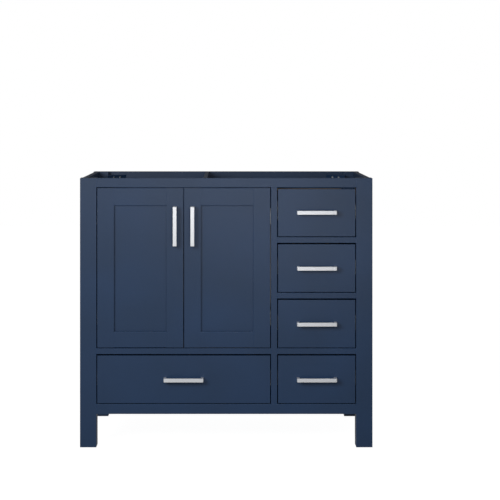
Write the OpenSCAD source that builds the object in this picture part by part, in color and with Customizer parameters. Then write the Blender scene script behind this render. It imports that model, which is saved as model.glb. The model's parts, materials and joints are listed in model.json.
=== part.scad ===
// Bathroom vanity cabinet without its worktop: square legs, a face frame, two inset frame-and-panel
// doors over one wide drawer, and a bank of four drawers on the right.
// Millimetres. X runs across, the front faces -Y, Z is up and the legs stand on Z = 0.

/* [Cabinet] */
// Overall width across the legs
body_w = 914; // [840:1:1110]
// Depth from the front face to the wall
body_d = 546; // [524:1:660]
// Height from the floor to the rim under the worktop
body_h = 843; // [780:1:1010]
// Side of the square legs
leg_w = 51; // [48:1:62]
// Clear height under the bottom rail
base_clear = 106; // [80:1:130]
// Height of the nylon glide under each leg
glide_h = 2; // [2:0.5:6]
// Radius of the glide
glide_r = 11; // [8:0.5:18]

/* [Face frame] */
// Thickness of the frame, the doors and the drawer fronts
front_t = 20; // [19:0.5:24]
// Height of the top rail
top_rail_h = 28.5; // [24:0.5:40]
// Height of the bottom rail
bottom_rail_h = 31.5; // [26:0.5:40]
// Height of each rail between drawers
mid_rail_h = 18; // [15:0.5:22]
// Width of the centre stile and of the partition behind it
stile_w = 19; // [16:0.5:23]
// Clear width of the drawer bay
bay_w = 247; // [205:1:300]

/* [Carcass] */
// Thickness of the side panels
side_t = 15; // [12:0.5:18]
// Step from the legs' outer face back to the side panel
side_step = 4; // [3:0.5:6]
// Depth of the leg grooves that hold the side panels
side_groove = 8; // [6:0.5:10]
// Height of the rail across the top of the back
back_rail_h = 90; // [75:1:108]
// Thickness of the back panel
back_t = 9; // [6:0.5:12]
// Thickness of the base panel
base_t = 12; // [9:0.5:15]
// Thickness of the cupboard floor
floor_t = 15; // [12:0.5:18]
// Width of the plumbing cut-out in the back
pipe_w = 240; // [200:1:288]
// Distance from the partition to the plumbing cut-out
pipe_side = 30; // [25:1:36]
// Height of the plumbing cut-out
pipe_h = 280; // [230:1:340]
// Thickness of the brace across the open top
brace_t = 12; // [10:0.5:16]
// Step from the top rail's lower edge up to the brace
brace_step = 2; // [1:0.5:4]
// Distance of the brace from the cabinet's middle, to the left
brace_left = 66; // [55:1:80]
// Radius of the two wall screw holes in the back rail
wall_hole_r = 2.75; // [2.25:0.25:3.5]
// Distance between the wall screw holes
wall_hole_span = 406.4; // [338:0.1:488]
// Leg of the triangular corner blocks
block_w = 60; // [50:1:72]
// Thickness of the corner blocks
block_t = 16; // [13:0.5:20]
// Radius of the worktop screw hole in each corner block
block_hole_r = 2.5; // [2:0.25:3]

/* [Doors] */
// Gap beside each door and drawer front
side_gap = 3; // [2.8:0.1:3.6]
// Gap above and below each door and drawer front
edge_gap = 2.5; // [2:0.1:3]
// Extra gap over each drawer front
drawer_top_gap = 2; // [1:0.5:3]
// Further gap over the top drawer, under the worktop's rail
top_drawer_gap = 1.5; // [0:0.5:3]
// Width of the door stiles
door_stile_w = 52; // [50:0.5:62]
// Width of a door's top rail
door_top_rail_w = 54.5; // [50:0.5:65]
// Width of a door's bottom rail
door_bottom_rail_w = 49.5; // [46:0.5:62]
// Thickness of the door panel
panel_t = 6; // [5:0.5:7]
// Step from the door's face back to its panel
panel_step = 8; // [6.5:0.5:8.5]
// Depth of the groove that holds the panel
panel_groove = 7; // [6:0.5:8]

/* [Pulls] */
// Length of each bar pull
pull_len = 124; // [105:1:151]
// Width of the bar's face
pull_w = 11.5; // [10:0.5:15]
// Distance from a door's top rail down to the end of its pull
pull_drop = 2; // [0:0.5:12]
// How far the pull stands out
pull_out = 28; // [24:0.5:34]
// Thickness of the bar
pull_t = 6; // [5:0.5:7]
// Thickness of the two feet
pull_foot = 8; // [7:0.5:10]
// Radius of the threaded hole in each foot
pull_tap_r = 1.65; // [1.4:0.05:2]
// Radius of the screw holes through the wood
pull_hole_r = 2.25; // [2:0.05:2.7]

/* [Drawers] */
// Thickness of the drawer box sides
box_t = 12; // [10:0.5:14]
// Height of the drawer boxes
box_h = 100; // [83:1:130]
// Length of the drawer boxes
box_len = 450; // [375:1:450]
// Thickness of the drawer bottoms
bottom_t = 6; // [4:0.5:9]
// Height of the bottom above the sides' lower edge
bottom_up = 10; // [8:0.5:14]
// Depth of the groove that holds the bottom
bottom_groove = 5; // [4:0.5:6]
// Number of dovetails at each corner
tails = 4; // [3:1:5]
// Width that each slide takes beside the box
slide_w = 12.7; // [12:0.1:14]
// Height of the slide
slide_h = 45; // [38:1:52]
// Distance from the drawer front back to the slides
slide_setback = 2; // [1.5:0.5:4]
// Sheet thickness of the slides
slide_sheet = 1.2; // [1:0.1:1.5]

/* [Hinges] */
// Diameter of the hinge cup's bore
cup_d = 35; // [34:0.5:36]
// Distance from the hinge pin to the floor of the bore
pin_floor = 3.5; // [3.3:0.1:3.8]
// Depth of the hinge pin behind the door's face
pin_in = 10.5; // [10.3:0.1:10.8]
// Radius of the hinge pin
pin_r = 1.25; // [1.1:0.05:1.3]
// Distance of each hinge from the door's end
hinge_end = 90; // [75:1:110]
// Thickness of the gooseneck arm
arm_t = 3.6; // [3:0.1:4]
// Width of the gooseneck arm
arm_w = 11; // [9:0.5:12]

/* [Hidden] */
$fn = 64;
rows = 4;
eps = 0.5;                    // overrun of cuts past a face
pin_play = 0.06;              // running clearance between pin and eye
swing_clear = 0.7;            // least gap between a turning door and its post
cup_play = 0.1;               // clearance of the cup in its bore
cup_wall = 0.7;
cup_offset = 0.7;             // cup's centre past the pin
cup_flange_t = 1.2;
cup_flange_r = 19;
cup_wing_w = 13;
cup_wing_len = 56;
lug_t = 2.5;                  // ears that carry the pin
lug_gap = 0.5;
eye_r = 2.4;
neck_clear = 0.8;             // between the arm's neck and the rim of the cup
neck_end = 112;               // angle at which the arm's bow ends
bow_lap = 6;                  // how far the bow runs past the neck and the foot, in degrees
plate_t = 2;
plate_w = 24;
plate_h = 48;
pull_bow_r = 2;               // outer corner radius of a pull
tap_depth = 14;
tail_root = 0.46;             // share of the pitch that a tail takes at its root
tail_tip = 0.66;              // and at its tip
glide_pin_r = 2.5;
glide_pin_h = 12;
cleat_h = 58;
joint_gap = 0.1;              // glue line between the boards of a drawer box
bow_clear = 1.3;              // between the arm's bow and the door's turning corners
block_step = 1.5;             // top rail's lower edge up to the corner blocks
base_step = 5.5;              // bottom rail's upper edge down to the base panel
slide_lip = 1.4;
slide_step = 2.4;             // room for the balls between two members
slide_outer_d = 0.74;         // share of the slide's width that the outer member is deep
slide_middle_d = 0.83;        // how far across the slide the middle member reaches
pipe_up = 70;                 // cut-out's lower edge above the cupboard floor

// Planes of the cabinet. The box round the cabinet and its pulls is centred on Y = 0.
front_y = -(body_d - pull_out) / 2;
back_y = front_y + body_d;
frame_back_y = front_y + front_t;
half_w = body_w / 2;
leg_in = half_w - leg_w;                    // inner face of the legs, from the middle
panel_out = half_w - side_step;
panel_in = panel_out - side_t;
back_in_y = back_y - front_t;               // inner face of the back rail and back panel
bay_x = leg_in - bay_w;                     // left edge of the drawer bay
stile_x = bay_x - stile_w;                  // left edge of the centre stile
left_w = stile_x + leg_in;                  // clear width of the left bay
top_z = body_h - top_rail_h;                // top of all openings
bottom_z = base_clear + bottom_rail_h;      // bottom of all openings
row_h = (top_z - bottom_z - (rows - 1) * mid_rail_h) / rows;
function row_z(i) = bottom_z + i * (row_h + mid_rail_h);   // lower edge of opening i, from the floor up
door_z = row_z(1);
door_w = (left_w - 3 * side_gap) / 2;
door_h = top_z - door_z - 2 * edge_gap;
base_z = bottom_z - base_t - base_step;     // underside of the base panel

// Hinge: the pin sits so far from the post that the door's front corner just clears it.
pin_out = (pow(pin_in, 2) + pow(side_gap, 2) - pow(swing_clear, 2)) / (2 * (side_gap - swing_clear));
cup_out = pin_out + cup_offset;
cup_bore = front_t - pin_in + pin_floor;
sweep_r = norm([pin_out - side_gap, max(pin_in, front_t - pin_in)]);
bow_r = sweep_r + bow_clear + arm_t / 2;
// The neck leans over until its side just clears the rim of the cup.
mouth_w = cup_offset + cup_d / 2 - cup_play - cup_wall - neck_clear;
mouth_h = front_t + cup_flange_t - pin_in;
neck_angle = atan2(mouth_h, mouth_w) + asin(arm_t / 2 / norm([mouth_w, mouth_h]));
hinge_zs = [door_z + edge_gap + hinge_end, top_z - edge_gap - hinge_end];

slide_y = frame_back_y + slide_setback;
slide_len = box_len - 2 * slide_setback;
pull_span = pull_len - pull_foot;           // between screw holes
pull_z = top_z - edge_gap - door_top_rail_w - pull_drop - pull_len / 2;

navy = [0.20, 0.26, 0.36];
birch = [0.85, 0.74, 0.56];
nickel = [0.82, 0.82, 0.80];
zinc = [0.72, 0.74, 0.76];

module box(x0, x1, y0, y1, z0, z1) {
    translate([x0, y0, z0]) cube([x1 - x0, y1 - y0, z1 - z0]);
}

// ---------------------------------------------------------------- carcass

// A leg whose outer front corner is at the origin, its groove open towards +Y.
module leg() {
    difference() {
        box(0, leg_w, 0, leg_w, glide_h, body_h);
        box(side_step, side_step + side_t, leg_w - side_groove, leg_w + eps, base_clear, body_h + eps);
        translate([leg_w / 2, leg_w / 2, glide_h - eps]) cylinder(r = glide_pin_r, h = glide_pin_h + eps);
    }
}
module front_left_leg() color(navy) translate([-half_w, front_y, 0]) leg();
module front_right_leg() color(navy) translate([half_w, front_y, 0]) mirror([1, 0, 0]) leg();
module rear_left_leg() color(navy) translate([-half_w, back_y, 0]) mirror([0, 1, 0]) leg();
module rear_right_leg() color(navy) translate([half_w, back_y, 0]) rotate(180) leg();

module side_panel() {
    box(panel_in, panel_out, front_y + leg_w - side_groove, back_y - leg_w + side_groove,
        base_clear, body_h);
}
module left_side_panel() color(navy) mirror([1, 0, 0]) side_panel();
module right_side_panel() color(navy) side_panel();

module top_front_rail() color(navy) box(-leg_in, leg_in, front_y, frame_back_y, top_z, body_h);
module bottom_front_rail() color(navy) box(-leg_in, leg_in, front_y, frame_back_y, base_clear, bottom_z);
module middle_rail()
    color(navy) box(-leg_in, stile_x, front_y, frame_back_y, door_z - mid_rail_h, door_z);
module centre_stile() color(navy) box(stile_x, bay_x, front_y, frame_back_y, bottom_z, top_z);
module drawer_rails() color(navy)
    for (i = [1:rows - 1])
        box(bay_x, leg_in, front_y, frame_back_y, row_z(i) - mid_rail_h, row_z(i));

module top_back_rail() color(navy) difference() {
    box(-leg_in, leg_in, back_in_y, back_y, body_h - back_rail_h, body_h);
    for (s = [-1, 1])
        translate([s * wall_hole_span / 2, back_in_y - eps, body_h - back_rail_h / 2])
            rotate([-90, 0, 0]) cylinder(r = wall_hole_r, h = front_t + 2 * eps);
}
module partition() color(navy) box(stile_x, bay_x, frame_back_y, back_in_y, base_z + base_t, top_z);

// A board that fills the plan between the side panels and round the legs, from x0 to x1.
module floor_board(x0, x1, z0, t) {
    intersection() {
        union() {
            box(-leg_in, leg_in, frame_back_y, back_in_y, z0, z0 + t);
            box(-panel_in, panel_in, front_y + leg_w, back_y - leg_w, z0, z0 + t);
        }
        box(x0, x1, front_y, back_y, z0, z0 + t);
    }
}
module cupboard_floor() color(navy) floor_board(-half_w, stile_x, door_z - floor_t, floor_t);
module base_panel() color(navy) floor_board(-half_w, half_w, base_z, base_t);

module back_panel() color(navy) difference() {
    box(-leg_in, leg_in, back_in_y, back_in_y + back_t, base_z, body_h - back_rail_h);
    translate([stile_x - pipe_side - pipe_w, back_in_y - eps, door_z + pipe_up])
        cube([pipe_w, back_t + 2 * eps, pipe_h]);
}
module top_brace() color(navy)
    box(-brace_left - brace_t / 2, -brace_left + brace_t / 2, frame_back_y, back_in_y,
        top_z + brace_step, body_h);

module corner_block() {
    block_z = top_z + block_step;
    difference() {
        translate([0, 0, block_z]) linear_extrude(block_t)
            polygon([[0, 0], [block_w, 0], [0, block_w]]);
        translate([block_w * 0.3, block_w * 0.3, block_z - eps])
            cylinder(r = block_hole_r, h = block_t + 2 * eps);
    }
}
module corner_blocks() color(navy) for (sx = [0, 1], sy = [0, 1])
    mirror([sx, 0, 0]) translate([-leg_in, sy == 0 ? frame_back_y : back_in_y, 0])
        mirror([0, sy, 0]) corner_block();

// Packing boards that bring the slides out to the legs' inner faces.
module slide_cleats() color(birch) {
    for (i = [0:rows - 1]) slide_cleat(slide_z(i));
    mirror([1, 0, 0]) slide_cleat(slide_z(0));
}
module slide_cleat(z)
    box(leg_in, panel_in, front_y + leg_w, back_y - leg_w, z - cleat_h / 2, z + cleat_h / 2);

module leg_glides() color("white") for (sx = [-1, 1], y = [front_y + leg_w / 2, back_y - leg_w / 2])
    translate([sx * (half_w - leg_w / 2), y, 0]) {
        cylinder(r = glide_r, h = glide_h);
        cylinder(r = glide_pin_r - 0.1, h = glide_h + glide_pin_h - 1);
    }

// ---------------------------------------------------------------- pulls

// Bar pull in its own plan: length along X, standing out towards -Y from Y = 0.
module pull() {
    difference() {
        translate([0, 0, -pull_w / 2]) linear_extrude(pull_w) difference() {
            rounded_bar(pull_len, pull_out, pull_bow_r);
            translate([0, eps])
                rounded_bar(pull_len - 2 * pull_foot, pull_out - pull_t + eps, pull_bow_r / 2);
        }
        for (s = [-1, 1])
            translate([s * pull_span / 2, -tap_depth, 0])
                rotate([-90, 0, 0]) cylinder(r = pull_tap_r, h = tap_depth + eps);
    }
}
// A rectangle from Y = 0 to -depth whose two outer corners are round.
module rounded_bar(len, depth, r) {
    translate([-len / 2, -depth + r]) square([len, depth - r]);
    translate([-len / 2 + r, -depth]) square([len - 2 * r, depth]);
    for (s = [-1, 1]) translate([s * (len / 2 - r), -depth + r]) circle(r);
}
// The two screw holes of a pull through boards of thickness t, from Y = 0 towards +Y.
module pull_holes(t)
    for (s = [-1, 1]) translate([s * pull_span / 2, -eps, 0])
        rotate([-90, 0, 0]) cylinder(r = pull_hole_r, h = t + 2 * eps);

// ---------------------------------------------------------------- doors

// Everything of a door is drawn as the left door, from its hinge side; the right one is its mirror.
// U runs from the post's inner face across the door, V back from the front plane.
module at_left_door() translate([-leg_in, front_y, 0]) children();
module at_right_door() translate([stile_x, front_y, 0]) mirror([1, 0, 0]) children();
door_lo = door_z + edge_gap;
door_hi = door_lo + door_h;
handle_u = side_gap + door_w - door_stile_w / 2;

module panel_groove_cut(u0, u1, z0, z1) box(u0, u1, panel_step, panel_step + panel_t, z0, z1);

module hinge_stile() difference() {
    box(side_gap, side_gap + door_stile_w, 0, front_t, door_lo, door_hi);
    panel_groove_cut(side_gap + door_stile_w - panel_groove, side_gap + door_stile_w + eps,
        door_lo - eps, door_hi + eps);
    for (z = hinge_zs) translate([cup_out, front_t - cup_bore, z])
        rotate([-90, 0, 0]) cylinder(d = cup_d, h = cup_bore + eps);
}
module handle_stile() difference() {
    box(side_gap + door_w - door_stile_w, side_gap + door_w, 0, front_t, door_lo, door_hi);
    panel_groove_cut(side_gap + door_w - door_stile_w - eps, side_gap + door_w - door_stile_w + panel_groove,
        door_lo - eps, door_hi + eps);
    translate([handle_u, 0, pull_z]) rotate([0, 90, 0]) pull_holes(front_t);
}
// One rail with its stub tenons; grooved on its upper edge, or on its lower edge if top is true.
module door_rail(top) {
    u0 = side_gap + door_stile_w;
    u1 = side_gap + door_w - door_stile_w;
    z0 = top ? door_hi - door_top_rail_w : door_lo;
    z1 = top ? door_hi : door_lo + door_bottom_rail_w;
    difference() {
        union() {
            box(u0, u1, 0, front_t, z0, z1);
            panel_groove_cut(u0 - panel_groove, u1 + panel_groove, z0, z1);
        }
        panel_groove_cut(u0 - panel_groove - eps, u1 + panel_groove + eps,
            top ? z0 - eps : z1 - panel_groove, top ? z0 + panel_groove : z1 + eps);
    }
}
module door_rails() {
    door_rail(true);
    door_rail(false);
}
module door_panel() panel_groove_cut(
    side_gap + door_stile_w - panel_groove, side_gap + door_w - door_stile_w + panel_groove,
    door_lo + door_bottom_rail_w - panel_groove, door_hi - door_top_rail_w + panel_groove);
module door_handle() translate([handle_u, 0, pull_z]) rotate([0, 90, 0]) pull();

// ---------------------------------------------------------------- hinges

// Cup with its flange, the two ears and the pin riveted between them. Z = 0 is the hinge's middle.
module hinge_cup() {
    bottom = front_t - cup_bore + cup_play;
    ear_z = arm_w / 2 + lug_gap;
    translate([cup_out, 0, 0]) difference() {
        union() {
            translate([0, bottom, 0]) rotate([-90, 0, 0])
                cylinder(r = cup_d / 2 - cup_play, h = front_t - bottom);
            translate([0, front_t, 0]) rotate([-90, 0, 0]) cylinder(r = cup_flange_r, h = cup_flange_t);
            translate([-cup_wing_w / 2, front_t, -cup_wing_len / 2])
                cube([cup_wing_w, cup_flange_t, cup_wing_len]);
        }
        translate([0, bottom + cup_wall, 0]) rotate([-90, 0, 0])
            cylinder(r = cup_d / 2 - cup_play - cup_wall, h = cup_bore + 2 * cup_flange_t);
    }
    for (s = [-1, 1]) translate([pin_out - 4, bottom + cup_wall / 2, s > 0 ? ear_z : -ear_z - lug_t])
        cube([8, pin_in - bottom + 2, lug_t]);
    translate([pin_out, pin_in, -ear_z - lug_t / 2]) cylinder(r = pin_r, h = 2 * ear_z + lug_t);
}
module hinge_cups() for (z = hinge_zs) translate([0, 0, z]) hinge_cup();

// Gooseneck arm: an eye on the pin, a neck out of the cup, a bow round the sweep of the door's edge
// and a foot on the plate.
module hinge_arm() {
    foot_v = pin_in + bow_r * sin(neck_end);
    translate([0, 0, -arm_w / 2]) linear_extrude(arm_w) difference() {
        union() {
            translate([pin_out, pin_in]) {
                circle(eye_r);
                rotate(neck_angle) translate([0, -arm_t / 2]) square([bow_r, arm_t]);
                bow(bow_r, arm_t, neck_angle - bow_lap, neck_end + bow_lap);
            }
            translate([plate_t, foot_v - arm_t / 2])
                square([pin_out + bow_r * cos(neck_end) - plate_t, arm_t]);
            translate([plate_t, foot_v - arm_t / 2]) square([arm_t, leg_w - 2 - foot_v + arm_t / 2]);
        }
        translate([pin_out, pin_in]) circle(pin_r + pin_play);
    }
}
// A ring of mean radius r and width t between two angles.
module bow(r, t, a0, a1) {
    reach = 2 * r;
    mid = (a0 + a1) / 2;
    difference() {
        circle(r + t / 2);
        circle(r - t / 2);
        polygon([[0, 0], reach * [cos(a0), sin(a0)], reach * [cos(a0 - 70), sin(a0 - 70)],
            reach * [-cos(mid), -sin(mid)], reach * [cos(a1 + 70), sin(a1 + 70)],
            reach * [cos(a1), sin(a1)]]);
    }
}
module hinge_plate() box(0, plate_t, leg_w - 1 - plate_w, leg_w - 1, -plate_h / 2, plate_h / 2);
module both_sides() {
    at_left_door() children();
    at_right_door() children();
}
module hinge_arms() color(zinc) both_sides() for (z = hinge_zs) translate([0, 0, z]) hinge_arm();
module hinge_plates() color(zinc) both_sides() for (z = hinge_zs) translate([0, 0, z]) hinge_plate();

// ---------------------------------------------------------------- drawers

// Drawer boxes hang midway in their opening.
function slide_z(i) = row_z(i) + row_h / 2;

// A front in opening i between x0 and x1.
module drawer_front(x0, x1, i) difference() {
    box(x0 + side_gap, x1 - side_gap, front_y, frame_back_y, row_z(i) + edge_gap,
        row_z(i) + row_h - edge_gap - drawer_top_gap - (i == rows - 1 ? top_drawer_gap : 0));
    translate([(x0 + x1) / 2, front_y, slide_z(i)]) pull_holes(front_t);
}
module drawer_handle(x0, x1, i) translate([(x0 + x1) / 2, front_y, slide_z(i)]) pull();

// Five boards with a hairline glue line between them: sides with tails, a front and a back cut to
// match, and a bottom held in grooves.
module drawer_box(x0, x1, i) {
    w = x1 - x0 - 2 * slide_w;
    translate([(x0 + x1) / 2, frame_back_y, slide_z(i) - box_h / 2]) {
        for (s = [0, 1]) mirror([s, 0, 0]) difference() {
            union() {
                box(-w / 2, -w / 2 + box_t, box_t + joint_gap, box_len - box_t - joint_gap, 0, box_h);
                both_ends() side_tails(w);
            }
            bottom_board(w, bottom_groove, joint_gap);
        }
        difference() {
            end_board(w);
            translate([0, 0, box_h / 2]) pull_holes(box_t);
        }
        translate([0, box_len, 0]) mirror([0, 1, 0]) end_board(w);
        bottom_board(w, bottom_groove - joint_gap);
    }
}
// The board across one end of a box, cut for the sides' tails and the bottom.
module end_board(w) difference() {
    box(-w / 2, w / 2, 0, box_t, 0, box_h);
    for (s = [0, 1]) mirror([s, 0, 0]) side_tails(w, eps, joint_gap);
    bottom_board(w, bottom_groove, joint_gap);
}
module both_ends() {
    children();
    translate([0, box_len, 0]) mirror([0, 1, 0]) children();
}
module bottom_board(w, inlet, gap = 0) {
    edge = box_t - inlet;
    box(-w / 2 + edge, w / 2 - edge, edge, box_len - edge, bottom_up - gap, bottom_up + bottom_t + gap);
}
// The tails at the front end of the left side. To cut their sockets they are made longer and wider.
module side_tails(w, longer = 0, wider = 0) {
    translate([-w / 2 - longer, box_t, 0]) rotate([90, 0, 90]) linear_extrude(box_t + longer + wider)
        for (k = [0:tails - 1]) tail((k + 0.5) * box_h / tails, longer, wider);
}
// One tail at height z, from its root at X = 0 to its tip at X = -box_t.
module tail(z, longer, wider) {
    half_root = tail_root * box_h / tails / 2 + wider;
    spread = (tail_tip - tail_root) * box_h / tails / 2;
    reach = box_t + longer;
    half_tip = half_root + spread * reach / box_t;
    translate([0, z]) polygon([[joint_gap, -half_root], [joint_gap, half_root], [0, half_root],
        [-reach, half_tip], [-reach, -half_tip], [0, -half_root]]);
}

// Slide profiles in plan: X from the cabinet's face (0) to the box's face (slide_w), Y across the height.
module channel(x_web, x_lip, h, lip) {
    t = slide_sheet;
    d = x_lip > x_web ? 1 : -1;
    polygon([[x_web, -h / 2], [x_lip, -h / 2], [x_lip, -h / 2 + lip + t], [x_lip - d * t, -h / 2 + lip + t],
        [x_lip - d * t, -h / 2 + t], [x_web + d * t, -h / 2 + t], [x_web + d * t, h / 2 - t],
        [x_lip - d * t, h / 2 - t], [x_lip - d * t, h / 2 - lip - t], [x_lip, h / 2 - lip - t],
        [x_lip, h / 2], [x_web, h / 2]]);
}
module slide(member) rotate([90, 0, 0]) mirror([0, 0, 1]) linear_extrude(slide_len)
    if (member == "outer") channel(0, slide_w * slide_outer_d, slide_h, slide_lip);
    else if (member == "middle")
        channel(slide_sheet + slide_step / 2, slide_w * slide_middle_d,
            slide_h - 2 * (slide_sheet + slide_step), slide_lip);
    else channel(slide_w, 2 * slide_sheet + slide_step, slide_h - 4 * (slide_sheet + slide_step), 0);
// A member on both sides of a bay.
module slides(member, x0, x1, i) {
    translate([x0, slide_y, slide_z(i)]) slide(member);
    translate([x1, slide_y, slide_z(i)]) mirror([1, 0, 0]) slide(member);
}
module outer_slides() color(zinc) {
    for (i = [0:rows - 1]) slides("outer", bay_x, leg_in, i);
    slides("outer", -leg_in, stile_x, 0);
}

// ---------------------------------------------------------------- nodes

module drawer_nodes(name, x0, x1, i) {
    color(navy) drawer_front(x0, x1, i);
    color(birch) drawer_box(x0, x1, i);
    color(nickel) drawer_handle(x0, x1, i);
    color(zinc) slides("inner", x0, x1, i);
    color(zinc) slides("middle", x0, x1, i);
}

front_left_leg();
front_right_leg();
rear_left_leg();
rear_right_leg();
left_side_panel();
right_side_panel();
top_front_rail();
bottom_front_rail();
middle_rail();
centre_stile();
drawer_rails();
top_back_rail();
partition();
cupboard_floor();
base_panel();
back_panel();
top_brace();
corner_blocks();
slide_cleats();
leg_glides();
hinge_plates();
hinge_arms();
outer_slides();

color(navy) at_left_door() hinge_stile();  // left_door_hinge_stile
color(navy) at_left_door() handle_stile();  // left_door_handle_stile
color(navy) at_left_door() door_rails();  // left_door_rails
color(navy) at_left_door() door_panel();  // left_door_panel
color(nickel) at_left_door() door_handle();  // left_door_handle
color(zinc) at_left_door() hinge_cups();  // left_hinge_cups
color(navy) at_right_door() hinge_stile();  // right_door_hinge_stile
color(navy) at_right_door() handle_stile();  // right_door_handle_stile
color(navy) at_right_door() door_rails();  // right_door_rails
color(navy) at_right_door() door_panel();  // right_door_panel
color(nickel) at_right_door() door_handle();  // right_door_handle
color(zinc) at_right_door() hinge_cups();  // right_hinge_cups

// Drawers 1 to 4 run from the top of the bank down.
for (n = [1:rows]) drawer_nodes(str("drawer_", n), bay_x, leg_in, rows - n);
drawer_nodes("wide_drawer", -leg_in, stile_x, 0);
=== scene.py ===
# A navy bathroom vanity cabinet without its worktop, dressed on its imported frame: sprayed satin
# lacquer on the carcass, doors and fronts, clear birch drawer boxes, ball slides and brushed pulls.
import json
import math

import bmesh
import bpy
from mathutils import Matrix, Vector

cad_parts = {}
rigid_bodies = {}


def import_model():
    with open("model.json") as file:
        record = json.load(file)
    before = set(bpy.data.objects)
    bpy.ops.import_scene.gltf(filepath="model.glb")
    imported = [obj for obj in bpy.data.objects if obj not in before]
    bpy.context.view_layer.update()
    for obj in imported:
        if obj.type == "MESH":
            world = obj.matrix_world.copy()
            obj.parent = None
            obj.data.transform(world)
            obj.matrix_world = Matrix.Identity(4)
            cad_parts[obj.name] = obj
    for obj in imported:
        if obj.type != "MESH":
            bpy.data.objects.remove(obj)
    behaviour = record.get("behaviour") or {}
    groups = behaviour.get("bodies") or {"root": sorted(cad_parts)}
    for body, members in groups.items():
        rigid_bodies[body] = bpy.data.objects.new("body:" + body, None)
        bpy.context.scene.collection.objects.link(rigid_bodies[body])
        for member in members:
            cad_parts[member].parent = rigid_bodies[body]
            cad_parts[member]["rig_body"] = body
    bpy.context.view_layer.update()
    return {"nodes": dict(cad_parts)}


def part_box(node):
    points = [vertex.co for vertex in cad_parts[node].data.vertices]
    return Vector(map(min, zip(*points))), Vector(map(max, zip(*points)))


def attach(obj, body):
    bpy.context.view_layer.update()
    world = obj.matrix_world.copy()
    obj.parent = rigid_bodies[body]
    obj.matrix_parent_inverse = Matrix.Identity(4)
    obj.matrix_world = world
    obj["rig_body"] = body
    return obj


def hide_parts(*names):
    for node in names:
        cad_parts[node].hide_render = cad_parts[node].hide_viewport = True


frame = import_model()
MM = 0.001
DRAWERS = ("drawer_1", "drawer_2", "drawer_3", "drawer_4", "wide_drawer")
DOORS = ("left_door", "right_door")


# ---------------------------------------------------------------- camera
# A long lens held level in front of the cabinet's middle, a little higher than its rim, so that the
# uprights stay parallel and a thin strip of the inside shows over the top rail.
front_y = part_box("top_front_rail")[0].y
camera_data = bpy.data.cameras.new("camera")
camera_data.sensor_width = 36
camera_data.lens = 112
camera_data.shift_x = 0.0475
camera_data.shift_y = -0.28
camera = bpy.data.objects.new("camera", camera_data)
camera.location = (0, front_y - 4.86, 1.056)
camera.rotation_euler = (math.radians(90), 0, 0)
bpy.context.scene.collection.objects.link(camera)
bpy.context.scene.camera = camera
bpy.context.scene.view_settings.view_transform = "Standard"


# ---------------------------------------------------------------- studio
# A white sweep under one large soft box, up and to the left of the camera, and two small lamps low
# in front that lift the middle and the right. White walls all round fill the shadows. The sweep is
# seen, and mirrored in metal, brighter than it lights, so no horizon shows.
def linear(hex_colour):
    """A colour written as sRGB hex, as the linear RGBA that Blender works in."""
    channels = [int(hex_colour[i:i + 2], 16) / 255 for i in (1, 3, 5)]
    return [c / 12.92 if c <= 0.04045 else ((c + 0.055) / 1.055) ** 2.4 for c in channels] + [1.0]


def add_node(tree, kind, settings=None, inputs=None):
    """Adds one node; an input's value is a number, a colour or the socket that feeds it."""
    made = tree.nodes.new(kind)
    for name, value in (settings or {}).items():
        setattr(made, name, value)
    for name, value in (inputs or {}).items():
        if isinstance(value, bpy.types.NodeSocket):
            tree.links.new(value, made.inputs[name])
        else:
            made.inputs[name].default_value = value
    return made


def new_material(name):
    """An empty material, its node tree and its Principled shader."""
    material = bpy.data.materials.new(name)
    material.use_nodes = True
    tree = material.node_tree
    return material, tree, tree.nodes["Principled BSDF"]


def mesh_object(name, mesh):
    piece = bpy.data.objects.new(name, mesh)
    bpy.context.scene.collection.objects.link(piece)
    return piece


sweep_paint, tree, shader = new_material("matt_white_sweep")
glow_seen, glow_mirrored = 0.97, 0.25
sight = add_node(tree, "ShaderNodeLightPath")
glow = add_node(tree, "ShaderNodeMapRange", inputs={
    "Value": sight.outputs["Is Camera Ray"], "To Min": 0.0, "To Max": glow_seen})
mirrored = add_node(tree, "ShaderNodeMath", {"operation": "MULTIPLY_ADD"}, {
    0: sight.outputs["Is Glossy Ray"], 1: glow_mirrored, 2: glow.outputs["Result"]})
tree.links.new(mirrored.outputs[0], shader.inputs["Emission Strength"])
shader.inputs["Emission Color"].default_value = linear("#ffffff")
shader.inputs["Base Color"].default_value = linear("#9a9a9a")
shader.inputs["Roughness"].default_value = 0.9
floor_mesh = bpy.data.meshes.new("sweep")
floor_mesh.from_pydata([(-9, -9, 0), (9, -9, 0), (9, 9, 0), (-9, 9, 0)], [], [(0, 1, 2, 3)])
floor_mesh.materials.append(sweep_paint)
floor = mesh_object("sweep", floor_mesh)

world = bpy.data.worlds.new("white_walls")
bpy.context.scene.world = world
world.use_nodes = True
tree = world.node_tree
walls = tree.nodes["Background"]
fill_strength, wall_strength = 0.15, 1.0
sight = add_node(tree, "ShaderNodeLightPath")
strength = add_node(tree, "ShaderNodeMapRange", inputs={
    "Value": sight.outputs["Is Camera Ray"], "To Min": fill_strength, "To Max": wall_strength})
tree.links.new(strength.outputs["Result"], walls.inputs["Strength"])
walls.inputs["Color"].default_value = (1, 1, 1, 1)

aim = Vector((0, front_y, 0.5))
lights = (
    # name, place, width, height, power
    ("soft_box", (-1.5, -2.75, 1.5), 1.0, 1.0, 34),
    ("right_lamp", (0.35, -1.5, 0.7), 0.6, 0.6, 1.8),
    ("middle_lamp", (-0.1, -1.6, 0.95), 0.6, 0.6, 2.3),
)
for name, place, width, height, power in lights:
    light_data = bpy.data.lights.new(name, "AREA")
    light_data.shape = "RECTANGLE"
    light_data.size = width
    light_data.size_y = height
    light_data.energy = power
    light = bpy.data.objects.new(name, light_data)
    light.location = place
    light.rotation_euler = (aim - light.location).to_track_quat("-Z", "Y").to_euler()
    bpy.context.scene.collection.objects.link(light)


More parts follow.
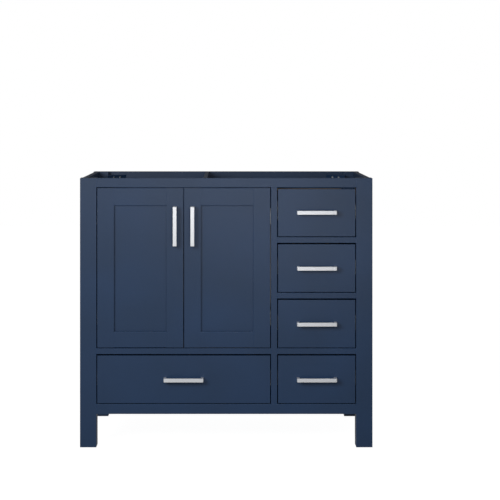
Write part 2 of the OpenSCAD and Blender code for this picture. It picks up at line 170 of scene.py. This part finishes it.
# ---------------------------------------------------------------- carcass
# Solid poplar legs and rails with veneered board between them, glued up, sanded and sprayed as one
# with satin polyurethane lacquer. Every arris is eased by hand, so a hairline shows at each joint.
def lacquer_material(name, colour, deep_colour, roughness):
    """Sprayed satin lacquer: a faint orange peel, a cloudy drift in tone and a soft even sheen."""
    material, tree, shader = new_material(name)
    place = add_node(tree, "ShaderNodeTexCoord").outputs["Object"]
    drift = add_node(tree, "ShaderNodeTexNoise", inputs={"Vector": place, "Scale": 5.0, "Detail": 3.0})
    tone = add_node(tree, "ShaderNodeValToRGB", inputs={"Fac": drift.outputs["Fac"]})
    tone.color_ramp.elements[0].position = 0.3
    tone.color_ramp.elements[0].color = linear(deep_colour)
    tone.color_ramp.elements[1].position = 0.7
    tone.color_ramp.elements[1].color = linear(colour)
    # Orange peel is about 2 mm from crest to crest, and mist settles into it as a finer grain.
    peel = add_node(tree, "ShaderNodeTexNoise", inputs={"Vector": place, "Scale": 450.0, "Detail": 2.0})
    mist = add_node(tree, "ShaderNodeTexNoise", inputs={"Vector": place, "Scale": 1700.0, "Detail": 1.0})
    relief = add_node(tree, "ShaderNodeMath", {"operation": "MULTIPLY_ADD"},
                      {0: mist.outputs["Fac"], 1: 0.35, 2: peel.outputs["Fac"]})
    bump = add_node(tree, "ShaderNodeBump", inputs={
        "Height": relief.outputs[0], "Strength": 0.10, "Distance": 0.00025})
    sheen = add_node(tree, "ShaderNodeMapRange", inputs={
        "Value": peel.outputs["Fac"], "To Min": roughness - 0.04, "To Max": roughness + 0.05})
    tree.links.new(tone.outputs["Color"], shader.inputs["Base Color"])
    tree.links.new(sheen.outputs["Result"], shader.inputs["Roughness"])
    tree.links.new(bump.outputs["Normal"], shader.inputs["Normal"])
    shader.inputs["IOR"].default_value = 1.48
    return material


lacquer = lacquer_material("navy_satin_lacquer", "#1e3c61", "#1b3758", 0.42)
# The arris copy is lighter and glossier than the flat lacquer: a painted highlight for the light that
# rounded edges catch.
lacquer_painted_highlight = lacquer_material("navy_lacquer_painted_arris_highlight", "#2c4a71", "#29456a", 0.32)


def plain_mesh(piece):
    """Applies a piece's modifiers."""
    seen = piece.evaluated_get(bpy.context.evaluated_depsgraph_get())
    made = bpy.data.meshes.new_from_object(seen)
    piece.modifiers.clear()
    piece.data = made
    return piece


def finished(node, finishes, width, along=None, fine=1.0, sides=3):
    """A copy of a CAD node with its sharp edges rounded to width. Edges along the axis numbered by
    along take all of it and the others the share called fine. The last finish goes on the rounded
    arris; for the lacquer that is a lighter copy, a painted highlight."""
    mesh = frame["nodes"][node].data.copy()
    mesh.materials.clear()
    for finish in finishes:
        mesh.materials.append(finish)
    shape = bmesh.new()
    shape.from_mesh(mesh)
    bmesh.ops.remove_doubles(shape, verts=shape.verts, dist=2e-6)
    bmesh.ops.dissolve_limit(shape, angle_limit=math.radians(1), verts=shape.verts, edges=shape.edges)
    weight = shape.edges.layers.float.new("bevel_weight_edge")
    for edge in shape.edges:
        if len(edge.link_faces) == 2 and edge.calc_face_angle(0) > math.radians(25):
            run = edge.verts[1].co - edge.verts[0].co
            straight = along is None or abs(run.normalized()[along]) > 0.99
            edge[weight] = 1.0 if straight else fine
    for face in shape.faces:
        face.smooth = True
        face.material_index = 0
    shape.to_mesh(mesh)
    shape.free()
    mesh.set_sharp_from_angle(angle=math.radians(25))
    piece = mesh_object(node + "_finished", mesh)
    bevel = piece.modifiers.new("arris", "BEVEL")
    bevel.limit_method = "WEIGHT"
    bevel.width = width
    bevel.segments = sides
    bevel.harden_normals = True
    bevel.material = len(finishes) - 1
    plain_mesh(piece)
    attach(piece, frame["nodes"][node]["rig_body"])
    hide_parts(node)
    return piece


# The second finish goes on every rounded arris as a painted highlight.
painted = (lacquer, lacquer_painted_highlight)
for node in ("front_left_leg", "front_right_leg", "rear_left_leg", "rear_right_leg"):
    finished(node, painted, 1.1 * MM, along=2, fine=0.8)
for node in ("top_front_rail", "bottom_front_rail", "middle_rail", "drawer_rails", "top_back_rail"):
    finished(node, painted, 0.9 * MM, along=0, fine=0.3)
finished("centre_stile", painted, 0.9 * MM, along=2, fine=0.3)
for node in ("left_side_panel", "right_side_panel", "partition", "cupboard_floor", "base_panel",
             "back_panel", "top_brace"):
    finished(node, painted, 0.5 * MM)


# ---------------------------------------------------------------- blocks and cleats
# Triangular blocks, sprayed with the frame, brace the top corners and take the worktop's screws.
# Packing boards of bare birch bring the slides out to the legs.
def birch_material(name, along):
    """Clear-lacquered birch: pale, with a fine even grain along one axis and faint growth bands."""
    material, tree, shader = new_material(name)
    place = add_node(tree, "ShaderNodeTexCoord").outputs["Object"]
    stretch = [22.0, 22.0, 22.0]
    stretch[along] = 1.3
    bands_at = add_node(tree, "ShaderNodeMapping", inputs={"Vector": place, "Scale": stretch})
    bands = add_node(tree, "ShaderNodeTexNoise", inputs={
        "Vector": bands_at.outputs["Vector"], "Scale": 1.0, "Detail": 4.0, "Distortion": 1.2})
    fine = [900.0, 900.0, 900.0]
    fine[along] = 14.0
    pores_at = add_node(tree, "ShaderNodeMapping", inputs={"Vector": place, "Scale": fine})
    pores = add_node(tree, "ShaderNodeTexNoise", inputs={
        "Vector": pores_at.outputs["Vector"], "Scale": 1.0, "Detail": 3.0})
    rings = add_node(tree, "ShaderNodeMath", {"operation": "MULTIPLY"}, {0: bands.outputs["Fac"], 1: 7.0})
    ring = add_node(tree, "ShaderNodeMath", {"operation": "FRACT"}, {0: rings.outputs[0]})
    tone = add_node(tree, "ShaderNodeValToRGB", inputs={"Fac": ring.outputs[0]})
    tone.color_ramp.elements[0].color = linear("#dcc296")
    tone.color_ramp.elements[1].color = linear("#d2b484")
    late = tone.color_ramp.elements.new(0.86)
    late.color = linear("#c9a873")
    streak = add_node(tree, "ShaderNodeMapRange", inputs={
        "Value": pores.outputs["Fac"], "From Min": 0.35, "From Max": 0.62, "To Min": 0.84, "To Max": 1.0})
    colour = add_node(tree, "ShaderNodeVectorMath", {"operation": "SCALE"},
                      {0: tone.outputs["Color"], "Scale": streak.outputs["Result"]})
    bump = add_node(tree, "ShaderNodeBump", inputs={
        "Height": pores.outputs["Fac"], "Strength": 0.15, "Distance": 0.0002})
    sheen = add_node(tree, "ShaderNodeMapRange", inputs={
        "Value": pores.outputs["Fac"], "To Min": 0.52, "To Max": 0.40})
    tree.links.new(colour.outputs["Vector"], shader.inputs["Base Color"])
    tree.links.new(sheen.outputs["Result"], shader.inputs["Roughness"])
    tree.links.new(bump.outputs["Normal"], shader.inputs["Normal"])
    return material


birch_across = birch_material("birch_grain_across", 0)
birch_deep = birch_material("birch_grain_front_to_back", 1)
finished("corner_blocks", painted, 0.8 * MM)
finished("slide_cleats", (birch_deep,), 0.8 * MM)


# ---------------------------------------------------------------- glides
# Turned nylon glides, pressed into a hole under each leg, with a rounded rim that won't mark a tile.
nylon, tree, shader = new_material("natural_nylon")
place = add_node(tree, "ShaderNodeTexCoord").outputs["Object"]
scuffs = add_node(tree, "ShaderNodeTexNoise", inputs={"Vector": place, "Scale": 700.0, "Detail": 4.0})
tone = add_node(tree, "ShaderNodeValToRGB", inputs={"Fac": scuffs.outputs["Fac"]})
tone.color_ramp.elements[0].color = linear("#c9c5ba")
tone.color_ramp.elements[1].color = linear("#e2dfd6")
tree.links.new(tone.outputs["Color"], shader.inputs["Base Color"])
shader.inputs["Roughness"].default_value = 0.45
shader.inputs["Subsurface Weight"].default_value = 0.1
finished("leg_glides", (nylon,), 0.5 * MM)


# ---------------------------------------------------------------- doors
# Five-piece doors: square-edged stiles and rails with stub tenons round a flat panel. The outer
# edges are rounded over after assembly, and the frame's joints show as hairlines in the lacquer.
for door in DOORS:
    finished(door + "_hinge_stile", painted, 1.4 * MM, along=2, fine=0.35)
    finished(door + "_handle_stile", painted, 1.4 * MM, along=2, fine=0.35)
    finished(door + "_rails", painted, 1.4 * MM, along=0, fine=0.25)
    finished(door + "_panel", painted, 0.4 * MM)


# ---------------------------------------------------------------- drawers
# Slab fronts with a rounded edge all round, screwed to dovetailed birch boxes: boards with
# the grain along each, and a plywood bottom let into grooves.
for drawer in DRAWERS:
    finished(drawer + "_front", painted, 1.7 * MM)
    box = finished(drawer + "_box", (birch_deep, birch_across), 0.35 * MM, sides=2)
    shape = bmesh.new()
    shape.from_mesh(box.data)
    left = set(shape.faces)
    while left:
        board = {left.pop()}
        grow = list(board)
        while grow:
            near = {f for e in grow.pop().edges for f in e.link_faces} - board
            board |= near
            grow.extend(near)
        left -= board
        corners = [v.co for f in board for v in f.verts]
        size = [max(c[i] for c in corners) - min(c[i] for c in corners) for i in range(3)]
        for face in board:
            face.material_index = 0 if size[0] < size[1] and size[0] < size[2] else 1
    shape.to_mesh(box.data)
    shape.free()


# ---------------------------------------------------------------- pulls
# Bar pulls cast in zinc alloy, linished along their length with a fine belt and plated with satin
# nickel, each held by two machine screws from behind.
def nickel_material(name, along):
    """Satin nickel: hairlines from the linishing belt run along the bar and spread its highlight."""
    material, tree, shader = new_material(name)
    place = add_node(tree, "ShaderNodeTexCoord").outputs["Object"]
    # Belt marks are a tenth of this wide; they are drawn coarser so that they still show.
    scale = [2600.0, 2600.0, 2600.0]
    scale[along] = 12.0
    lines_at = add_node(tree, "ShaderNodeMapping", inputs={"Vector": place, "Scale": scale})
    lines = add_node(tree, "ShaderNodeTexNoise", inputs={
        "Vector": lines_at.outputs["Vector"], "Scale": 1.0, "Detail": 2.0})
    tone = add_node(tree, "ShaderNodeValToRGB", inputs={"Fac": lines.outputs["Fac"]})
    tone.color_ramp.elements[0].color = linear("#e2e4e8")
    tone.color_ramp.elements[1].color = linear("#f3f5f9")
    sheen = add_node(tree, "ShaderNodeMapRange", inputs={
        "Value": lines.outputs["Fac"], "To Min": 0.42, "To Max": 0.60})
    bump = add_node(tree, "ShaderNodeBump", inputs={
        "Height": lines.outputs["Fac"], "Strength": 0.12, "Distance": 0.0001})
    tree.links.new(tone.outputs["Color"], shader.inputs["Base Color"])
    tree.links.new(sheen.outputs["Result"], shader.inputs["Roughness"])
    tree.links.new(bump.outputs["Normal"], shader.inputs["Normal"])
    shader.inputs["Metallic"].default_value = 0.75
    return material


nickel_across = nickel_material("satin_nickel_linished_across", 0)
nickel_upright = nickel_material("satin_nickel_linished_upright", 2)
for drawer in DRAWERS:
    finished(drawer + "_handle", (nickel_across,), 0.7 * MM)
for door in DOORS:
    finished(door + "_handle", (nickel_upright,), 0.7 * MM)


# ---------------------------------------------------------------- slides and hinges
# Pressed steel in bright zinc plate: three nested channels each side of a drawer, and cup hinges
# whose gooseneck arms reach round the edge of the inset doors.
zinc, tree, shader = new_material("bright_zinc_plate")
place = add_node(tree, "ShaderNodeTexCoord").outputs["Object"]
bloom = add_node(tree, "ShaderNodeTexNoise", inputs={"Vector": place, "Scale": 60.0, "Detail": 4.0})
drawn_at = add_node(tree, "ShaderNodeMapping", inputs={"Vector": place, "Scale": (1500.0, 9.0, 1500.0)})
drawn = add_node(tree, "ShaderNodeTexNoise", inputs={
    "Vector": drawn_at.outputs["Vector"], "Scale": 1.0, "Detail": 1.0})
tone = add_node(tree, "ShaderNodeValToRGB", inputs={"Fac": bloom.outputs["Fac"]})
tone.color_ramp.elements[0].position = 0.3
tone.color_ramp.elements[0].color = linear("#9da3a9")
tone.color_ramp.elements[1].position = 0.75
tone.color_ramp.elements[1].color = linear("#c6cacd")
sheen = add_node(tree, "ShaderNodeMapRange", inputs={
    "Value": drawn.outputs["Fac"], "To Min": 0.28, "To Max": 0.46})
bump = add_node(tree, "ShaderNodeBump", inputs={
    "Height": drawn.outputs["Fac"], "Strength": 0.08, "Distance": 0.0001})
tree.links.new(tone.outputs["Color"], shader.inputs["Base Color"])
tree.links.new(sheen.outputs["Result"], shader.inputs["Roughness"])
tree.links.new(bump.outputs["Normal"], shader.inputs["Normal"])
shader.inputs["Metallic"].default_value = 1.0

finished("outer_slides", (zinc,), 0.3 * MM, sides=2)
for drawer in DRAWERS:
    finished(drawer + "_middle_slides", (zinc,), 0.3 * MM, sides=2)
    finished(drawer + "_runners", (zinc,), 0.3 * MM, sides=2)
finished("hinge_plates", (zinc,), 0.3 * MM, sides=2)
finished("hinge_arms", (zinc,), 0.3 * MM, sides=2)
for node in ("left_hinge_cups", "right_hinge_cups"):
    finished(node, (zinc,), 0.15 * MM, sides=2)


# ---------------------------------------------------------------- screws
# Zinc-plated cross-head screws: pan heads through the hinges, wafer heads in the slides, where there
# is little room, machine screws behind the pulls, pan heads again in the corner blocks and drawer
# boxes, and small wood screws in the back.
def screw_head():
    """A domed head of radius and height 1 with its cross recess, its underside let in a little."""
    shape = bmesh.new()
    turns = [math.radians(30 * i - 15) for i in range(12)]
    rings = [[(r * math.cos(a), r * math.sin(a), z) for a in turns]
             for r, z in ((1.0, -0.15), (1.0, 0.3), (0.9, 0.62), (0.62, 0.92))]
    slot, reach = 0.13, 0.46
    arm = [(reach, -slot), (reach, slot), (slot, slot)]
    for depth in (1.0, 0.3):
        cross = []
        for quarter in range(4):
            c, s = round(math.cos(quarter * math.pi / 2)), round(math.sin(quarter * math.pi / 2))
            cross += [(c * x - s * y, s * x + c * y, depth) for x, y in arm]
        rings.append(cross)
    rings = [[shape.verts.new(p) for p in ring] for ring in rings]
    shape.faces.new(rings[0][::-1])
    shape.faces.new(rings[-1])
    for low, high in zip(rings, rings[1:]):
        for i in range(12):
            j = (i + 1) % 12
            shape.faces.new((low[i], low[j], high[j], high[i]))
    mesh = bpy.data.meshes.new("screw_head")
    shape.to_mesh(mesh)
    shape.free()
    return mesh_object("screw_head", mesh)


def new_tree(name, inputs):
    """A Geometry Nodes tree with its named inputs, and its input and output nodes."""
    tree = bpy.data.node_groups.new(name, "GeometryNodeTree")
    tree.interface.new_socket("Geometry", in_out="OUTPUT", socket_type="NodeSocketGeometry")
    tree.interface.new_socket("Geometry", in_out="INPUT", socket_type="NodeSocketGeometry")
    for label, kind in inputs:
        tree.interface.new_socket(label, in_out="INPUT", socket_type="NodeSocket" + kind)
    return tree, tree.nodes.new("NodeGroupInput"), tree.nodes.new("NodeGroupOutput")


def end_tree(tree, shape, material, outlet):
    """Realises what the tree made, gives it its material and hands it out."""
    real = add_node(tree, "GeometryNodeRealizeInstances", inputs={"Geometry": shape})
    coated = add_node(tree, "GeometryNodeSetMaterial", inputs={
        "Geometry": real.outputs["Geometry"], "Material": material})
    tree.links.new(coated.outputs["Geometry"], outlet.inputs["Geometry"])


def grown(name, places, tree, values, body):
    """Grows a tree on a mesh of points, each with its attributes, into one plain piece for a body."""
    mesh = bpy.data.meshes.new(name)
    mesh.from_pydata([place[0] for place in places], [], [])
    for label, column in (("facing", 1), ("extent", 2)):
        layer = mesh.attributes.new(label, "FLOAT_VECTOR", "POINT")
        for item, place in zip(layer.data, places):
            item.vector = place[column]
    piece = mesh_object(name, mesh)
    growth = piece.modifiers.new("growth", "NODES")
    growth.node_group = tree
    for socket in tree.interface.items_tree:
        if socket.in_out == "INPUT" and socket.name in values:
            growth[socket.identifier] = values[socket.name]
    plain_mesh(piece)
    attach(piece, body)
    return piece


screws_tree, inlet, outlet = new_tree("screws", (
    ("Head", "Object"), ("Steel", "Material"), ("Seed", "Int")))
head = add_node(screws_tree, "GeometryNodeObjectInfo", inputs={"Object": inlet.outputs["Head"]})
facing = add_node(screws_tree, "GeometryNodeInputNamedAttribute", {"data_type": "FLOAT_VECTOR"}, {
    "Name": "facing"})
extent = add_node(screws_tree, "GeometryNodeInputNamedAttribute", {"data_type": "FLOAT_VECTOR"}, {
    "Name": "extent"})
# Each screw stops at its own angle when it is tight.
roll = add_node(screws_tree, "FunctionNodeRandomValue", {"data_type": "FLOAT_VECTOR"}, {
    "Max": (0.0, 0.0, 2 * math.pi), "Seed": inlet.outputs["Seed"]})
aimed = add_node(screws_tree, "FunctionNodeAlignRotationToVector", {"axis": "Z"}, {
    "Vector": facing.outputs["Attribute"]})
turned = add_node(screws_tree, "FunctionNodeRotateRotation", {"rotation_space": "LOCAL"}, {
    "Rotation": aimed.outputs["Rotation"], "Rotate By": roll.outputs["Value"]})
heads = add_node(screws_tree, "GeometryNodeInstanceOnPoints", inputs={
    "Points": inlet.outputs["Geometry"], "Instance": head.outputs["Geometry"],
    "Rotation": turned.outputs["Rotation"], "Scale": extent.outputs["Attribute"]})
end_tree(screws_tree, heads.outputs["Instances"], inlet.outputs["Steel"], outlet)

screw = screw_head()
steel_screws = {"Head": screw, "Steel": zinc, "Seed": 4}
RIGHT, LEFT, BACKWARD = Vector((1, 0, 0)), Vector((-1, 0, 0)), Vector((0, 1, 0))
# Radius and height of a head, in metres.
PAN, WAFER = (3.8 * MM, 2.2 * MM), (3.4 * MM, 0.9 * MM)
MACHINE, WOOD = (4.4 * MM, 1.9 * MM), (3.2 * MM, 0.8 * MM)


def screws(body, places):
    """Screws for one body; each place is a point, the way the head faces and the kind of head."""
    points = [(Vector(place), way, (kind[0], kind[0], kind[1])) for place, way, kind in places]
    grown(body + "_screws", points, screws_tree, steel_screws, body)


cabinet_screws = []
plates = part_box("hinge_plates")
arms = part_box("hinge_arms")
plate_t, arm_t, foot_screw_in = 2 * MM, 3.6 * MM, 7 * MM
half_plate, half_cup, half_wing, half_foot = 17.5 * MM, 28 * MM, 21 * MM, 4 * MM
for door, way in zip(DOORS, (RIGHT, LEFT)):
    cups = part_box(door.split("_")[0] + "_hinge_cups")
    post_x = plates[0].x if way is RIGHT else plates[1].x
    door_screws = []
    for z in (cups[0].z + half_cup, cups[1].z - half_cup):
        foot_place = (post_x + way.x * (plate_t + arm_t), arms[1].y - foot_screw_in, z)
        cabinet_screws.append((foot_place, way, PAN))
        for side in (-1, 1):
            plate_y = (plates[0].y + plates[1].y) / 2
            cabinet_screws.append(((post_x + way.x * plate_t, plate_y, z + side * half_plate), way, PAN))
            cup_x = (cups[0].x + cups[1].x) / 2
            door_screws.append(((cup_x, cups[1].y, z + side * half_wing), BACKWARD, PAN))
    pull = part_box(door + "_handle")
    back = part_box(door + "_handle_stile")[1].y
    for z in (pull[0].z + half_foot, pull[1].z - half_foot):
        door_screws.append((((pull[0].x + pull[1].x) / 2, back, z), BACKWARD, MACHINE))
    screws(door, door_screws)

# Each row of screws is measured back from its slide's foremost one.
sheet, web_to_runner, box_t = 1.2 * MM, 4.8 * MM, 12 * MM
bay_row = (0, 218 * MM, 330 * MM, 410 * MM)
runner_row = (12 * MM, 150 * MM, 380 * MM)
front_screw_in, front_screw_up = 34 * MM, 27 * MM
front_screws_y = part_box("outer_slides")[0].y + 24 * MM
for drawer in DRAWERS:
    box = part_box(drawer + "_box")
    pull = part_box(drawer + "_handle")
    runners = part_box(drawer + "_runners")
    inside_y, middle_z = box[0].y + box_t, (box[0].z + box[1].z) / 2
    drawer_screws = [((x, inside_y, middle_z), BACKWARD, MACHINE)
                     for x in (pull[0].x + half_foot, pull[1].x - half_foot)]
    drawer_screws += [((x, inside_y, middle_z + up * front_screw_up), BACKWARD, PAN)
                      for x in (box[0].x + front_screw_in, box[1].x - front_screw_in) for up in (-1, 1)]
    reach = runners[0].x - web_to_runner + sheet, runners[1].x + web_to_runner - sheet
    for back in bay_row:
        for bay_side, way in zip(reach, (RIGHT, LEFT)):
            cabinet_screws.append(((bay_side, front_screws_y + back, middle_z), way, WAFER))
    for back in runner_row:
        for box_side, way in ((box[0].x - sheet, LEFT), (box[1].x + sheet, RIGHT)):
            drawer_screws.append(((box_side, front_screws_y + back, middle_z), way, PAN))
    screws(drawer, drawer_screws)

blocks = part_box("corner_blocks")
block_w, half_apart, block_z = 60 * MM, 10 * MM, (blocks[0].z + blocks[1].z) / 2
for corner_x, into_x in ((blocks[0].x, 1), (blocks[1].x, -1)):
    for corner_y, into_y in ((blocks[0].y, 1), (blocks[1].y, -1)):
        for shift in (-half_apart, half_apart):
            place = (corner_x + into_x * (block_w / 2 + shift),
                     corner_y + into_y * (block_w / 2 - shift), block_z)
            cabinet_screws.append((place, Vector((into_x, into_y, 0)).normalized(), PAN))
# The back panel is screwed to the boards whose ends meet it: base, cupboard floor and partition.
back_low, back_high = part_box("back_panel")


def middle(node, axis):
    return sum(getattr(corner, axis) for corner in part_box(node)) / 2


edge, partition_x, base_z = 12 * MM, middle("partition", "x"), middle("base_panel", "z")
shelf_z = middle("cupboard_floor", "z")
steps = [back_low.x + edge + i * (back_high.x - back_low.x - 2 * edge) / 6 for i in range(7)]
rim = [(x, base_z) for x in steps] + [(x, shelf_z) for x in steps if x < partition_x - edge]
rim += [(partition_x, back_low.z + (back_high.z - back_low.z) * up) for up in (0.25, 0.45, 0.65, 0.85)]
cabinet_screws += [((x, back_high.y, z), BACKWARD, WOOD) for x, z in rim]
screws("cabinet", cabinet_screws)
bpy.data.objects.remove(screw)


# ---------------------------------------------------------------- balls
# Two rows of hardened balls between each pair of slide members, held at their pitch by a thin cage
# pressed from zinc-plated strip into a C. The outer cage lies in the front half of the cabinet's
# member, and the inner one in the middle member.
cage_tree, inlet, outlet = new_tree("ball_cage", (
    ("Balls", "Int"), ("Ball radius", "Float"), ("First ball", "Vector"), ("Pitch", "Vector"),
    ("Strip", "Vector"), ("Strip place", "Vector"), ("Web", "Vector"), ("Web place", "Vector"),
    ("Upper row", "Vector"), ("Lower row", "Vector"), ("Steel", "Material")))
ball = add_node(cage_tree, "GeometryNodeMeshUVSphere", inputs={
    "Segments": 8, "Rings": 6, "Radius": inlet.outputs["Ball radius"]})
beads = add_node(cage_tree, "GeometryNodeMeshLine", inputs={
    "Count": inlet.outputs["Balls"], "Start Location": inlet.outputs["First ball"],
    "Offset": inlet.outputs["Pitch"]})
row = add_node(cage_tree, "GeometryNodeInstanceOnPoints", inputs={
    "Points": beads.outputs["Mesh"], "Instance": ball.outputs["Mesh"]})
strip = add_node(cage_tree, "GeometryNodeMeshCube", inputs={"Size": inlet.outputs["Strip"]})
strip_placed = add_node(cage_tree, "GeometryNodeTransform", inputs={
    "Geometry": strip.outputs["Mesh"], "Translation": inlet.outputs["Strip place"]})
web = add_node(cage_tree, "GeometryNodeMeshCube", inputs={"Size": inlet.outputs["Web"]})
web_placed = add_node(cage_tree, "GeometryNodeTransform", inputs={
    "Geometry": web.outputs["Mesh"], "Translation": inlet.outputs["Web place"]})
flange = add_node(cage_tree, "GeometryNodeJoinGeometry")
whole = add_node(cage_tree, "GeometryNodeJoinGeometry", inputs={"Geometry": web_placed.outputs["Geometry"]})
for part in (strip_placed.outputs["Geometry"], row.outputs["Instances"]):
    cage_tree.links.new(part, flange.inputs["Geometry"])
for level in ("Upper row", "Lower row"):
    moved = add_node(cage_tree, "GeometryNodeTransform", inputs={
        "Geometry": flange.outputs["Geometry"], "Translation": inlet.outputs[level]})
    cage_tree.links.new(moved.outputs["Geometry"], whole.inputs["Geometry"])
facing = add_node(cage_tree, "GeometryNodeInputNamedAttribute", {"data_type": "FLOAT_VECTOR"}, {
    "Name": "facing"})
opened = add_node(cage_tree, "FunctionNodeAlignRotationToVector", {"axis": "X"}, {
    "Vector": facing.outputs["Attribute"]})
levelled = add_node(cage_tree, "FunctionNodeAlignRotationToVector", {"axis": "Y", "pivot_axis": "X"}, {
    "Rotation": opened.outputs["Rotation"], "Vector": (0.0, 1.0, 0.0)})
cages = add_node(cage_tree, "GeometryNodeInstanceOnPoints", inputs={
    "Points": inlet.outputs["Geometry"], "Instance": whole.outputs["Geometry"],
    "Rotation": levelled.outputs["Rotation"]})
end_tree(cage_tree, cages.outputs["Instances"], inlet.outputs["Steel"], outlet)

cage_len, ball_pitch, cage_sheet = 180 * MM, 12 * MM, 0.4 * MM


def cage_sizes(row_up, row_deep, web_deep, lip):
    """The tree's inputs for one cage: its rows are row_up from the middle, its strips end at lip."""
    return {
        "Balls": round(cage_len / ball_pitch), "Ball radius": 1.1 * MM, "Steel": zinc,
        "First ball": (row_deep, ball_pitch / 2, 0.0), "Pitch": (0.0, ball_pitch, 0.0),
        "Strip": (lip - web_deep, cage_len, cage_sheet),
        "Strip place": ((lip + web_deep) / 2, cage_len / 2, 0.0),
        "Web": (cage_sheet, cage_len, 2 * row_up), "Web place": (web_deep, cage_len / 2, 0.0),
        "Upper row": (0.0, 0.0, row_up), "Lower row": (0.0, 0.0, -row_up)}


outer_cage = cage_sizes(20.1 * MM, 5.6 * MM, 1.8 * MM, 7.6 * MM)
inner_cage = cage_sizes(16.5 * MM, 7.2 * MM, 4.2 * MM, 9.2 * MM)
cage_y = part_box("outer_slides")[0].y + 42 * MM
outer_places, unscaled = [], (1, 1, 1)
for drawer in DRAWERS:
    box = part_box(drawer + "_box")
    slide_w, z = 12.7 * MM, (box[0].z + box[1].z) / 2
    places = [((box[0].x - slide_w, cage_y, z), RIGHT, unscaled),
              ((box[1].x + slide_w, cage_y, z), LEFT, unscaled)]
    outer_places += places
    grown(drawer + "_inner_cages", places, cage_tree, inner_cage, drawer + "_middle")
grown("outer_cages", outer_places, cage_tree, outer_cage, "cabinet")
